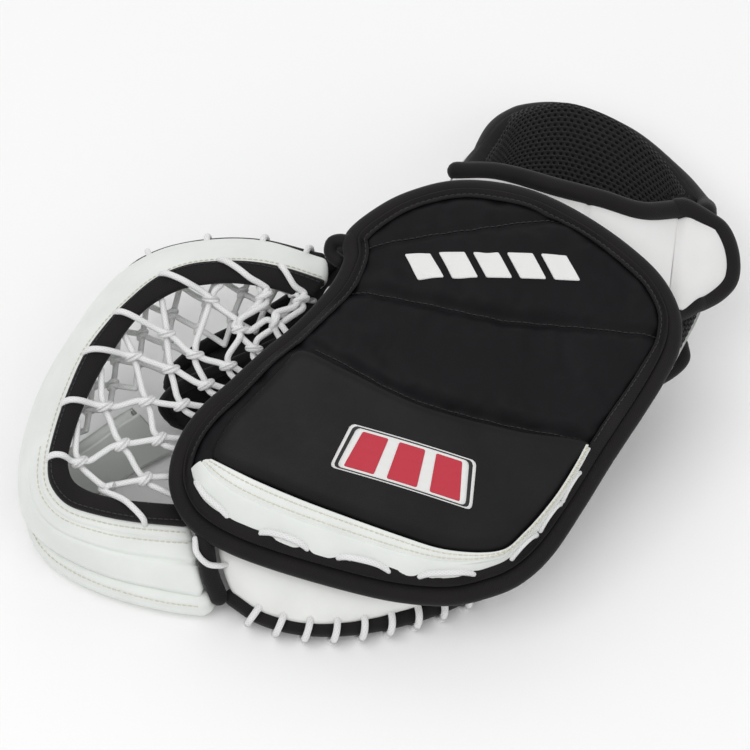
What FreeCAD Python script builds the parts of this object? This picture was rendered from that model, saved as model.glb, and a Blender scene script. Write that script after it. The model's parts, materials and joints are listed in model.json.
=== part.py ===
"""Goalie catch glove for the left hand, lying palm down, in millimetres.

The glove has four pieces of body: the finger half with the cuff, the laced web (the T), the thumb half,
and the padded backhand panel, plus the free end of the wrist strap. X runs from the pocket to the little
finger, Y from the fingertips to the wrist, and Z up. The finished parts are moved so that the origin is
at the bottom centre of the whole glove.
"""
import math
import os

import FreeCAD
import Part

V = FreeCAD.Vector

# Driving dimensions
FINGER_DEPTH = 44.0        # backhand panel's outer face to the palm, over the fingers
HEEL_GROWTH = 0.0022       # how fast that depth grows towards the wrist
PANEL_THICKNESS = 10.0     # nylon backhand panel
BINDING_RADIUS = 6.5       # rolled binding round the backhand panel
CUFF_BINDING_RADIUS = 5.5
PAD_THICKNESS = 14.0       # foam block over the knuckles
BOARD_THICKNESS = 4.0      # stiff palm board
LEATHER = 3.0              # palm leather
LACE_RADIUS = 2.0
NET_THICKNESS = 3.0
CORE_THICKNESS = 6.0       # stiff core inside the web strip
STALL_RADIUS = 11.5        # finger stall, outside
STALL_WALL = 1.8
THUMB_STALL_RADIUS = 10.6
GAP = 0.4                  # clearance between neighbouring layers

# Outlines in plan (x, y)
PANEL_EDGE = [
    (-12, 61), (8, 77), (28, 86), (50, 91), (75, 90), (99, 84), (124, 72), (150, 55), (170, 37), (180, 17),
    (179, -2), (170, -20), (157, -40), (138, -67), (119, -95), (101, -119), (84, -133), (66, -140),
    (44, -144), (15, -142), (-17, -135), (-57, -123), (-87, -111), (-107, -98), (-117, -82), (-118, -67),
    (-112, -52), (-100, -38), (-84, -26), (-64, -10), (-46, 3), (-31, 17), (-19, 32), (-13, 46),
]
PALM_EDGE = [
    (-80, -105), (-45, -122), (12, -125), (50, -111), (82, -87), (111, -58), (135, -24), (139, 6),
    (116, 40), (82, 60), (44, 54), (-8, 28), (-34, -8), (-60, -46), (-78, -78),
]
KNUCKLE_EDGE = [
    (-44, -14), (-18, -26), (15, -43), (44, -53), (86, -62), (126, -67), (117, -82), (105, -98),
    (88, -116), (73, -126), (44, -126), (15, -118), (-33, -101), (-68, -86), (-96, -72), (-91, -56),
    (-75, -40), (-58, -25),
]
EMBLEM_EDGE = [(-22, -80), (-8, -58), (30, -66), (52, -84), (38, -103), (2, -98)]
NAME_BAR = (22, 122, 28, 44)     # x from, x to, y from, y to

# Guide curves (x, y, z)
RIM_TOP = [(-93, -105, 41), (-58, -121, 39), (-15, -131, 38), (18, -135, 37), (52, -134, 37),
           (78, -124, 41), (100, -102, 50), (119, -77, 60), (137, -48, 72), (152, -22, 81)]
RIM_BOTTOM = [(-86, -129, 19), (-68, -141, 18), (-43, -148, 18), (-15, -148, 18), (15, -142, 18),
              (42, -132, 18), (66, -119, 20), (90, -98, 24), (112, -73, 31), (131, -46, 41), (147, -20, 50)]
EDGE_DROP = 8.0                  # the laced edge lies this far under the rim's bottom edge
INDEX_TOP = [(-24, 34, 100), (-44, 2, 86), (-72, -36, 68), (-92, -72, 52), (-97, -96, 45)]
INDEX_BOTTOM = [(-22, 30, 80), (-41, -4, 66), (-67, -42, 46), (-88, -80, 27), (-93, -106, 16)]
WEB_NEAR = [(-33, 50, 91), (-54, 54, 97), (-75, 56, 101), (-100, 58, 98), (-118, 56, 96),
            (-135, 49, 93), (-149, 37, 91), (-163, 21, 89), (-177, -1, 86), (-187, -26, 80),
            (-194, -50, 74), (-197, -67, 69), (-195, -81, 64), (-185, -91, 58), (-167, -96, 54),
            (-145, -98, 49), (-115, -97, 41)]
WEB_OUTER = [(-33, 71, 85), (-70, 89, 78), (-106, 94, 72), (-140, 89, 66), (-168, 70, 60),
             (-192, 33, 54), (-209, -2, 48), (-218, -35, 41), (-220, -60, 34), (-216, -82, 28),
             (-203, -98, 24), (-182, -111, 22), (-156, -121, 21), (-130, -127, 21), (-108, -131, 21)]
NET_EDGE = [(-44, 39, 86), (-60, 42, 92), (-80, 43, 96.5), (-100, 44, 95), (-120, 41, 93),
            (-138, 31, 90), (-150, 18, 87.5), (-160, 3, 84), (-169, -13, 80.5), (-177, -32, 76),
            (-183, -50, 71), (-186, -66, 66), (-183, -76, 60), (-172, -82, 56), (-155, -85, 52),
            (-138, -85, 48), (-118, -83, 40)]
NET_INDEX = [(-33, 34, 94), (-53, 2, 83), (-82, -37, 64), (-104, -74, 48), (-109, -95, 43)]
CROSSBAR_LINE = [(-210, -62, 18), (-206, -82, 10.5), (-195, -98, 8.8), (-176, -111, 8.8), (-152, -121, 8.8),
                 (-126, -128, 8.8), (-106, -131, 8.8)]
CROSSBAR_RADIUS = 8.6
THUMB_ARM_TOP = [(-192, -56, 46), (-175, -42, 45), (-158, -26, 44), (-147, -17, 43)]
THUMB_ARM_BOTTOM = [(-188, -62, 6), (-168, -50, 4), (-149, -36, 4), (-128, -23, 4)]
FAR_NET_SPINE = [(-44, 68, 78), (-72, 81, 72), (-106, 85, 65), (-137, 81, 59), (-160, 63, 53),
                 (-182, 30, 47), (-199, -2, 41), (-206, -30, 36)]
FAR_NET_THUMB = [(-38, 42, 80), (-71, 24, 75), (-108, 11, 66), (-140, 0, 55), (-160, -16, 53),
                 (-180, -38, 53), (-194, -48, 54)]
THUMB_TOP = [(-138, -8, 46), (-108, -1, 58), (-71, 12, 67), (-34, 32, 72), (2, 68, 72), (26, 100, 70)]
THUMB_BOTTOM = [(-118, -12, 10), (-86, -8, 10), (-32, 0, 10), (16, 32, 12), (44, 70, 16)]
CUFF_HEEL = [(38, 82, 96), (50, 86, 64), (112, 64, 44), (162, 26, 38), (182, 6, 62)]
CUFF_BELLY = [(46, 108, 94), (62, 122, 46), (124, 128, 12), (188, 86, 28), (206, 60, 60)]
CUFF_LIP = [(52, 127, 91), (65, 166, 66), (88, 205, 46), (127, 224, 31), (168, 208, 27), (197, 171, 33),
            (211, 137, 45), (211, 121, 57)]
WRIST_EDGE = [(50, 121, 102), (78, 112, 112), (115, 98, 114), (140, 92, 111), (165, 88, 104), (190, 96, 95)]
WRIST_INNER = [(38, 86, 100), (66, 74, 110), (100, 62, 111), (132, 46, 105), (158, 30, 96), (177, 18, 87)]
TAB_ROOT = [(197, 95, 92), (193, 62, 88), (187, 36, 81)]
TAB_MIDDLE = [(201, 96, 91), (207, 78, 87), (206, 62, 83), (199, 48, 80), (190, 38, 79)]
TAB_TIP = [(204, 97, 90), (214, 89, 86), (219, 76, 80), (218, 63, 75), (210, 54, 73), (201, 47, 74),
           (193, 40, 77)]
HAND_STRAP_FRONT = [(8, 30, 82), (28, 24, 99), (58, 14, 103), (88, 2, 97), (106, -8, 68)]
HAND_STRAP_BACK = [(24, 54, 84), (44, 49, 104), (74, 40, 111), (104, 28, 104), (122, 16, 70)]
PAD_STRIP_EDGE = [(-98, -73), (-69, -88), (-34, -103), (14, -120), (44, -128), (74, -128), (90, -117),
                  (107, -99), (119, -82), (126, -70)]
GUSSET_PALM = [(-16, 28, 78), (14, 46, 76), (38, 60, 73)]
GUSSET_THUMB = [(-25, 30, 76), (6, 57, 75), (27, 80, 74)]

KNUCKLES = [(-8, -10), (19, -19), (46, -28), (72, -37)]
STALL_LENGTHS = [70.0, 80.0, 76.0, 60.0]
FINGER_DIRECTION = (-0.34, -0.94)

# Joint axes, before the move to the final origin
THUMB_FOLD = (-28.0, 25.0, 76.0), (0.634, 0.773, 0.0)
BACKHAND_LIFT = (0.0, -144.0, 46.0), (0.979, -0.205, 0.0)
WRIST_TAB_PEEL = (191.0, 60.0, 88.0), (-0.077, -0.98, -0.18)


def panel_height(x, y):
    """Height of the backhand panel's outer face: tilted to the fingertips and crowned."""
    return 112 + 0.34 * y - 7e-4 * (x - 50) ** 2 - 9e-4 * (y + 10) ** 2


def palm_height(x, y):
    """Height of the palm board's underside; the glove gets deeper from the knuckles to the heel."""
    towards_wrist = max(0.0, (x - 60) * 0.5 + (y + 20) * 0.86 + 20)
    return panel_height(x, y) - FINGER_DEPTH - HEEL_GROWTH * towards_wrist ** 2


def stations(points, count, closed=False):
    """count points, evenly spaced along a smooth curve through points."""
    line = Part.BSplineCurve()
    line.interpolate(Points=[V(*p) for p in points], PeriodicFlag=closed)
    found = line.toShape().discretize(Number=count + 1 if closed else count)
    return found[:-1] if closed else found


def solid_between(front, back):
    """A solid closed between two grids of points of the same size."""
    skins = []
    for grid in (front, back):
        skin = Part.BSplineSurface()
        skin.interpolate(grid)
        skins.append(skin)
    faces = [skin.toShape() for skin in skins]
    u0, u1, v0, v1 = skins[0].bounds()
    w0, w1, t0, t1 = skins[1].bounds()
    for a, b in ((skins[0].uIso(u0), skins[1].uIso(w0)), (skins[0].uIso(u1), skins[1].uIso(w1)),
                 (skins[0].vIso(v0), skins[1].vIso(t0)), (skins[0].vIso(v1), skins[1].vIso(t1))):
        faces.extend(Part.makeLoft([Part.Wire(a.toShape()), Part.Wire(b.toShape())], False, True).Faces)
    closed = Part.makeCompound(faces)
    closed.sewShape(1e-4)
    solid = Part.Solid(closed.Shells[0])
    if solid.Volume < 0:
        solid.reverse()
    return solid


def shell(guides, thickness, count=12):
    """A curved sheet through two or more guide curves, thickened along its normal."""
    rows = [stations(g, count) for g in guides]
    if len(rows) == 2:
        rows.insert(1, [(p + q) * 0.5 for p, q in zip(*rows)])
    last_row = len(rows) - 1
    back = []
    for j, row in enumerate(rows):
        back.append([])
        for i, p in enumerate(row):
            along = row[min(i + 1, count - 1)] - row[max(i - 1, 0)]
            across = rows[min(j + 1, last_row)][i] - rows[max(j - 1, 0)][i]
            back[-1].append(p + along.cross(across).normalize() * thickness)
    return solid_between(rows, back)


def beyond(edge, inner, distance, count=12, lift=0.0):
    """Points that continue a sheet past its edge by distance, away from its inner guide curve."""
    found = []
    for p, q in zip(stations(edge, count), stations(inner, count)):
        r = p + (p - q).normalize() * distance
        found.append((r.x, r.y, r.z + lift))
    return found


def aside(points, distance):
    """The curve moved sideways in plan, to the right of its direction."""
    line = stations(points, 12)
    found = []
    for i, p in enumerate(line):
        along = line[min(i + 1, 11)] - line[max(i - 1, 0)]
        r = p + along.cross(V(0, 0, 1)).normalize() * distance
        found.append((r.x, r.y, r.z))
    return found


def offset(points, dx=0.0, dy=0.0, dz=0.0):
    return [(p[0] + dx, p[1] + dy, p[2] + dz) for p in points]


def disc_edge(centre, along, radius, towards=V(0, 0, 1)):
    """A circle across a bar, turned so that its seam points the given way."""
    side = towards.cross(along).normalize()
    circle = Part.makeCircle(radius)
    circle.Placement = FreeCAD.Placement(centre, FreeCAD.Rotation(side.cross(along), side, along, "ZXY"))
    return Part.Wire(circle)


def bar(line, radius):
    """A round bar through a list of evenly spaced points."""
    last = len(line) - 1
    wires = [disc_edge(p, line[min(i + 1, last)] - line[max(i - 1, 0)], radius) for i, p in enumerate(line)]
    return Part.makeLoft(wires, True, False)


def tube(points, radius, count=14):
    """A round bar along a smooth open curve."""
    return bar(stations(points, count), radius)


def dome(outline, height, thickness):
    """A slab with the plan outline whose upper face follows height(x, y)."""
    xs = [p[0] for p in outline]
    ys = [p[1] for p in outline]
    margin, steps = 15.0, 8
    grid = []
    for i in range(steps + 1):
        x = min(xs) - margin + (max(xs) - min(xs) + 2 * margin) * i / steps
        row = []
        for j in range(steps + 1):
            y = min(ys) - margin + (max(ys) - min(ys) + 2 * margin) * j / steps
            row.append(V(x, y, height(x, y)))
        grid.append(row)
    surface = Part.BSplineSurface()
    surface.interpolate(grid)
    slab = surface.toShape().extrude(V(0, 0, -thickness))
    edge = Part.BSplineCurve()
    edge.interpolate(Points=[V(p[0], p[1], -50) for p in outline], PeriodicFlag=True)
    prism = Part.Face(Part.Wire(edge.toShape())).extrude(V(0, 0, 300))
    return slab.common(prism)


def inset(outline, distance):
    """The plan outline moved inwards by distance."""
    moved, n = [], len(outline)
    for i, (x, y) in enumerate(outline):
        (ax, ay), (bx, by) = outline[i - 1], outline[(i + 1) % n]
        length = math.hypot(bx - ax, by - ay)
        moved.append((x + distance * (by - ay) / length, y - distance * (bx - ax) / length))
    return moved


def ring(centre, axis, radius, wire_radius):
    return Part.makeTorus(radius, wire_radius, V(*centre), V(*axis))


def rings_along(points, radius, count, skip_ends=1):
    """Evenly spaced lace loops round a curve."""
    line = stations(points, count + 2 * skip_ends)
    loops = []
    for i in range(skip_ends, len(line) - skip_ends):
        along = line[i + 1] - line[i - 1]
        loops.append(ring(line[i], along, radius, LACE_RADIUS))
    return Part.makeCompound(loops)


def backhand_panel():
    return dome(inset(PANEL_EDGE, BINDING_RADIUS + 2 * GAP), panel_height, PANEL_THICKNESS)


def backhand_binding():
    """Rolled binding round the panel: two bars that meet at the two ends of the glove."""
    loop = [(x, y, panel_height(x, y) - PANEL_THICKNESS / 2) for x, y in PANEL_EDGE]
    line = stations(loop, 72, closed=True)
    half = len(line) // 2
    return Part.makeCompound([bar(line[:half + 1], BINDING_RADIUS), bar(line[half:] + line[:1], BINDING_RADIUS)])


def knuckle_pad():
    return dome(KNUCKLE_EDGE, lambda x, y: panel_height(x, y) + PAD_THICKNESS, PAD_THICKNESS - GAP)


def emblem():
    top = PAD_THICKNESS + 2.0
    return dome(EMBLEM_EDGE, lambda x, y: panel_height(x, y) + top, 2.0 - GAP / 4)


def name_bar():
    x0, x1, y0, y1 = NAME_BAR
    outline = [(x0, y0), ((x0 + x1) / 2, y0), (x1, y0), (x1, y1), ((x0 + x1) / 2, y1), (x0, y1)]
    return dome(outline, lambda x, y: panel_height(x, y) + 1.6, 1.5)


def pad_strip():
    """The leather strip that slopes from the knuckle pad's top edge down to the binding."""
    top = [(x, y, panel_height(x, y) + PAD_THICKNESS - 1) for x, y in PAD_STRIP_EDGE]
    foot = [(x, y, panel_height(x, y) + 1.5) for x, y in PAD_STRIP_EDGE]
    return shell([aside(top, 1.2), aside(foot, 4.8)], -2.0)


def pad_lacing():
    """Lace stitches that hold the knuckle pad down along the fingertips and the little finger."""
    edge = [(x, y, panel_height(x, y)) for x, y in PAD_STRIP_EDGE]
    line = stations(offset(aside(edge, 9.8), dz=BINDING_RADIUS - PANEL_THICKNESS / 2 + LACE_RADIUS + 0.8), 28)
    stitches = []
    for i in range(1, 27, 3):
        step = line[i + 1] - line[i]
        stitches.append(Part.makeCylinder(LACE_RADIUS, step.Length * 1.6, line[i], step))
    return Part.makeCompound(stitches)


def stall(knuckle, length):
    """A closed sleeve for one finger."""
    dx, dy = FINGER_DIRECTION
    tip = (knuckle[0] + dx * length, knuckle[1] + dy * length)
    depth = PANEL_THICKNESS + STALL_RADIUS + 3.5
    a = V(knuckle[0], knuckle[1], panel_height(*knuckle) - depth)
    b = V(tip[0], tip[1], panel_height(*tip) - depth)
    along = b - a
    outer = Part.makeCone(STALL_RADIUS, STALL_RADIUS - 1.5, along.Length, a, along)
    bore = STALL_RADIUS - STALL_WALL
    inner = Part.makeCone(bore, bore - 1.5, along.Length - 4, a - along.normalize() * 0.01, b - a)
    return outer.cut(inner)


def finger_half():
    edge_line = offset(RIM_BOTTOM, dz=-EDGE_DROP)
    return {
        "palm_board": dome(PALM_EDGE, lambda x, y: palm_height(x, y) + BOARD_THICKNESS, BOARD_THICKNESS),
        "palm_leather": dome(PALM_EDGE, lambda x, y: palm_height(x, y) - GAP, LEATHER),
        "finger_rim": shell([RIM_TOP, RIM_BOTTOM], 8.0),
        "finger_edge_binding": tube(edge_line, CUFF_BINDING_RADIUS),
        "finger_edge_lacing": rings_along(edge_line, CUFF_BINDING_RADIUS + LACE_RADIUS + 0.3, 17),
        "finger_rim_end": tube([(-101, -112, 42), (-99, -122, 28), (-94, -131, 14)], 5.5, 6),
        "index_wall": shell([INDEX_BOTTOM, INDEX_TOP], 7.0),
        "finger_stalls": Part.makeCompound([stall(k, n) for k, n in zip(KNUCKLES, STALL_LENGTHS)]),
        "hand_strap": shell([HAND_STRAP_BACK, HAND_STRAP_FRONT], 2.5),
        "cuff_board": shell([CUFF_LIP, CUFF_BELLY, CUFF_HEEL], 4.0),
        "cuff_mesh_pad": shell([CUFF_LIP, CUFF_BELLY, CUFF_HEEL], -14.0),
        "cuff_binding": tube(beyond(CUFF_LIP, CUFF_BELLY, CUFF_BINDING_RADIUS + 5.8), CUFF_BINDING_RADIUS),
        "wrist_panel": shell([WRIST_EDGE, WRIST_INNER], 3.0),
        "wrist_binding": tube(beyond(WRIST_EDGE, WRIST_INNER, CUFF_BINDING_RADIUS + 1.8), CUFF_BINDING_RADIUS),
    }


def web():
    outer_edge = beyond(WEB_OUTER, WEB_NEAR, 4.0, 24)[:14]
    return {
        "web_strip": shell([WEB_NEAR, WEB_OUTER], -2.5, 24),
        "web_core": shell([WEB_NEAR, WEB_OUTER], CORE_THICKNESS, 24),
        "web_binding": shell([NET_EDGE, WEB_NEAR], -4.0, 24),
        "spine_edge_binding": tube(outer_edge, 3.0),
        "spine_edge_lacing": rings_along(outer_edge[:9], 3.0 + LACE_RADIUS + 0.3, 4),
        "finger_side_net": shell([beyond(NET_EDGE, WEB_NEAR, 3.0, 24), NET_INDEX], -NET_THICKNESS, 24),
        "thumb_side_net": shell([FAR_NET_THUMB, FAR_NET_SPINE], NET_THICKNESS, 20),
        "crossbar_roll": tube(CROSSBAR_LINE, CROSSBAR_RADIUS),
        "thumb_arm": shell([THUMB_ARM_TOP, THUMB_ARM_BOTTOM], 8.0, 8),
        "palm_gusset": shell([GUSSET_PALM, GUSSET_THUMB], 2.0, 6),
    }


def thumb_half():
    sleeve = [(-97, 11, 33), (-62, 22, 35), (-24, 46, 38), (0, 74, 38)]
    cover_top = [(-134, 14, 36), (-106, 27, 49), (-76, 40, 57), (-47, 59, 61), (-24, 85, 62), (-6, 113, 58)]
    cover_foot = [(-114, 10, 6), (-86, 20, 6), (-48, 34, 6), (-8, 62, 7), (16, 96, 10)]
    foot_line = offset(THUMB_BOTTOM, dz=-EDGE_DROP + 1.2)
    return {
        "thumb_palm_leather": shell([THUMB_BOTTOM, THUMB_TOP], 3.0),
        "thumb_board": shell([THUMB_BOTTOM, THUMB_TOP], -4.0),
        "thumb_top_binding": tube(beyond(THUMB_TOP, THUMB_BOTTOM, 4.5), 4.0),
        "thumb_stall": tube(sleeve, THUMB_STALL_RADIUS).cut(tube(sleeve, THUMB_STALL_RADIUS - STALL_WALL)),
        "thumb_cover": shell([cover_foot, cover_top], -8.0),
        "thumb_cover_binding": tube(beyond(cover_top, cover_foot, 5.0), 4.5),
        "thumb_foot_binding": tube(foot_line, 4.0),
    }


def tab():
    edge = beyond(TAB_TIP, TAB_ROOT, CUFF_BINDING_RADIUS + 4.0, lift=-1.8)
    return {
        "strap_tab": shell([TAB_TIP, TAB_MIDDLE, TAB_ROOT], 3.0, 8),
        "strap_tab_binding": tube(edge, 4.8),
    }


def main():
    nodes = {}
    nodes["backhand_panel"] = backhand_panel()
    nodes["backhand_binding"] = backhand_binding()
    nodes["knuckle_pad"] = knuckle_pad()
    nodes["emblem"] = emblem()
    nodes["name_bar"] = name_bar()
    nodes["pad_strip"] = pad_strip()
    nodes["pad_lacing"] = pad_lacing()
    for group in (finger_half(), web(), thumb_half(), tab()):
        nodes.update(group)
    whole = Part.makeCompound(list(nodes.values())).optimalBoundingBox(False)
    to_origin = V(-whole.Center.x, -whole.Center.y, -whole.ZMin)
    os.makedirs("parts", exist_ok=True)
    for name, shape in nodes.items():
        shape.translate(to_origin)
        shape.exportStep(f"parts/{name}.step")
    print("moved by", to_origin, "size", whole.XLength, whole.YLength, whole.ZLength)
    for place, axis in (THUMB_FOLD, BACKHAND_LIFT, WRIST_TAB_PEEL):
        print("joint at", V(*place) + to_origin, "about", axis)


main()
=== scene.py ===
"""Looks of a goalie catch glove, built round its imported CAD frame.

Guide curves are in millimetres in the glove's own design space, where the web's crotch is at FOLD_POINT.
Every mesh is made there and moved to the frame, which places the same point at the thumb_fold joint.
"""

import json
import math

import bpy
import numpy as np
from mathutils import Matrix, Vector
from mathutils.bvhtree import BVHTree


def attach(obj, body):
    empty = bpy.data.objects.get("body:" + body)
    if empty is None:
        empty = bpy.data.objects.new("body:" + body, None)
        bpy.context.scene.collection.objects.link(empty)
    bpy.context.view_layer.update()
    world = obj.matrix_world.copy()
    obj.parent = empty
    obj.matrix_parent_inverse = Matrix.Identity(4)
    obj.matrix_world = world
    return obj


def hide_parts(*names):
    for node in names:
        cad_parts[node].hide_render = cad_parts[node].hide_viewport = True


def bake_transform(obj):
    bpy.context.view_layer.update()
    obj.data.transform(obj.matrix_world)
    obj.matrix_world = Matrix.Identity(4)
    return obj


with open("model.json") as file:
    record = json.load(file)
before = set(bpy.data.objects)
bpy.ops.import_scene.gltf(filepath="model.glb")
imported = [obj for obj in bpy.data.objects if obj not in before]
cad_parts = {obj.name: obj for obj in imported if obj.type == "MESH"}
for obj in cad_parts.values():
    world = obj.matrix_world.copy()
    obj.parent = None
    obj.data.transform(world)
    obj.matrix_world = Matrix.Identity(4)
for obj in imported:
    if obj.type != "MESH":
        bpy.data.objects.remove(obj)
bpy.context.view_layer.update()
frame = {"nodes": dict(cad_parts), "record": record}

MM = 0.001
FOLD_POINT = np.array((-28.0, 25.0, 76.0))
joint_places = {j["name"]: j["pos_m"] for j in frame["record"]["behaviour"]["joints"]}
SHIFT = np.array(joint_places["thumb_fold"]) - FOLD_POINT * MM

FINGER_HALF, BACKHAND, WEB, THUMB_HALF, STRAP = "finger_half", "backhand", "web", "thumb_half", "wrist_strap"
UP = np.array((0.0, 0.0, 1.0))


# ---------------------------------------------------------------- curves and surfaces, in mm

def lengths(line):
    """The distance from a polyline's start to each of its points."""
    return np.concatenate([[0], np.cumsum(np.linalg.norm(np.diff(line, axis=0), axis=1))])


def sampled(line, at, measure=None):
    """Points of a polyline at the given distances along it, or along the distances in measure."""
    measure = lengths(line) if measure is None else measure
    return np.stack([np.interp(at, measure, values) for values in line.T], axis=-1)


def smooth(points, count, closed=False):
    """count points, evenly spaced along a smooth curve through points."""
    p = np.array(points, float)
    if closed:
        p = np.vstack([p[-1:], p, p[:2]])
    else:
        p = np.vstack([2 * p[:1] - p[1:2], p, 2 * p[-1:] - p[-2:-1]])
    t = np.linspace(0, 1, 16, endpoint=False)[:, None]
    runs = []
    for a, b, c, d in zip(p, p[1:], p[2:], p[3:]):
        runs.append(0.5 * (2 * b + (c - a) * t + (2 * a - 5 * b + 4 * c - d) * t ** 2
                           + (3 * b - a - 3 * c + d) * t ** 3))
    line = np.vstack(runs + [p[-2:-1]])
    found = sampled(line, np.linspace(0, lengths(line)[-1], count + 1 if closed else count))
    return found[:-1] if closed else found


def unit(v):
    return v / np.maximum(np.linalg.norm(v, axis=-1, keepdims=True), 1e-9)


def directions(line, closed=False):
    """Unit tangents of a polyline."""
    if closed:
        return unit(np.roll(line, -1, axis=0) - np.roll(line, 1, axis=0))
    return unit(np.gradient(line, axis=0))


def surface(guides, across, along, bulge=0.0):
    """A grid of points, across x along, through two or more guide curves, bowed out by bulge mm."""
    rows = np.array([smooth(g, along) for g in guides])
    grid = np.array([smooth(rows[:, i], across) for i in range(along)]).transpose(1, 0, 2)
    if bulge:
        t = np.linspace(0, 1, across)[:, None, None]
        grid = grid + normals(grid) * bulge * 4 * t * (1 - t)
    return grid


def normals(grid):
    """Unit normals of a grid: the way along crossed with the way across."""
    return unit(np.cross(np.gradient(grid, axis=1), np.gradient(grid, axis=0)))


def panel_height(x, y):
    """The backhand's outer face, as in the CAD model."""
    return 112 + 0.34 * y - 7e-4 * (x - 50) ** 2 - 9e-4 * (y + 10) ** 2


def palm_height(x, y):
    towards_wrist = np.maximum(0.0, (x - 60) * 0.5 + (y + 20) * 0.86 + 20)
    return panel_height(x, y) - 44.0 - 0.0022 * towards_wrist ** 2


# ---------------------------------------------------------------- meshes

def turned_out(points, faces):
    """The faces with their normals outward, judged by the volume that they enclose."""
    p = np.asarray(points)
    volume = 0.0
    for size in {len(f) for f in faces}:
        group = np.array([f for f in faces if len(f) == size])
        for k in range(1, size - 1):
            a, b, c = p[group[:, 0]], p[group[:, k]], p[group[:, k + 1]]
            volume += float(np.sum(a * np.cross(b, c)))
    return faces if volume > 0 else [f[::-1] for f in faces]


def shade_smooth(mesh):
    mesh.polygons.foreach_set("use_smooth", np.ones(len(mesh.polygons), dtype=bool))


def set_map(mesh, uv):
    """Give the mesh a map in mm, from one pair for each vertex."""
    layer = mesh.uv_layers.get("mm") or mesh.uv_layers.new(name="mm")
    corner = np.zeros(len(mesh.loops), dtype=np.int64)
    mesh.loops.foreach_get("vertex_index", corner)
    layer.data.foreach_set("uv", np.asarray(uv, float)[corner].ravel())


def mesh_piece(name, points, faces, uv, material):
    """A smooth-shaded mesh in the frame, from points in mm and a map in mm."""
    mesh = bpy.data.meshes.new(name)
    faces = turned_out(points, faces)
    mesh.from_pydata((np.asarray(points) * MM + SHIFT).tolist(), [], faces)
    set_map(mesh, uv)
    shade_smooth(mesh)
    mesh.materials.append(material)
    obj = bpy.data.objects.new(name, mesh)
    bpy.context.scene.collection.objects.link(obj)
    return obj


def declare(obj, body, stands_for=()):
    """Put a piece on its body, in place of CAD nodes."""
    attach(obj, body)
    if stands_for:
        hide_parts(*stands_for)


def grid_faces(rows, cols, start=0, closed=False):
    faces = []
    for r in range(rows - 1):
        for c in range(cols if closed else cols - 1):
            a = start + r * cols + c
            b = start + r * cols + (c + 1) % cols
            faces.append((a, b, b + cols, a + cols))
    return faces


def thick_sheet(name, grid, thickness, material, edge_steps=5):
    """A closed sheet with rounded edges. grid is its outer face; thickness runs against the normal."""
    rows, cols = grid.shape[:2]
    n = normals(grid)
    t = np.full((rows, cols), float(thickness)) if np.isscalar(thickness) else thickness
    back = grid - n * t[..., None]
    v = np.tile(lengths(grid[:, cols // 2])[:, None], (1, cols))
    u = np.tile(lengths(grid[rows // 2])[None, :], (rows, 1))
    ring = ([(0, c) for c in range(cols - 1)] + [(r, cols - 1) for r in range(rows - 1)]
            + [(rows - 1, c) for c in range(cols - 1, 0, -1)] + [(r, 0) for r in range(rows - 1, 0, -1)])
    ri, ci = np.array(ring).T
    border = grid[ri, ci]
    out = unit(np.cross(n[ri, ci], directions(border, closed=True)))
    inward = grid[np.clip(ri, 1, rows - 2), np.clip(ci, 1, cols - 2)] - border
    flip = np.sign(-np.sum(out * inward, axis=1))[:, None]
    out = out * np.where(flip == 0, 1, flip)
    points = [grid.reshape(-1, 3), back.reshape(-1, 3)]
    uv = [np.stack([u, v], axis=-1).reshape(-1, 2)] * 2
    half = t[ri, ci][:, None] / 2
    middle = border - n[ri, ci] * half
    for k in range(1, edge_steps):
        angle = math.pi * k / edge_steps
        points.append(middle + (n[ri, ci] * math.cos(angle) + out * math.sin(angle)) * half)
        uv.append(np.stack([u[ri, ci], v[ri, ci]], axis=-1) + math.sin(angle) * half)
    size, m = rows * cols, len(ring)
    faces = [f[::-1] for f in grid_faces(rows, cols)] + grid_faces(rows, cols, size)
    front_ring = (ri * cols + ci).tolist()
    starts = [2 * size + k * m for k in range(edge_steps - 1)]
    loops = [front_ring] + [list(range(k, k + m)) for k in starts] + [[i + size for i in front_ring]]
    for a, b in zip(loops, loops[1:]):
        for i in range(m):
            j = (i + 1) % m
            faces.append((a[i], a[j], b[j], b[i]))
    return mesh_piece(name, np.vstack(points), faces, np.vstack(uv), material)


def cross_frames(line, closed=False, up=None):
    """Two unit directions across a line: side and lift."""
    along = directions(line, closed)
    reference = np.broadcast_to(UP if up is None else up, line.shape)
    side = unit(np.cross(along, reference))
    return side, np.cross(side, along)


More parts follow.
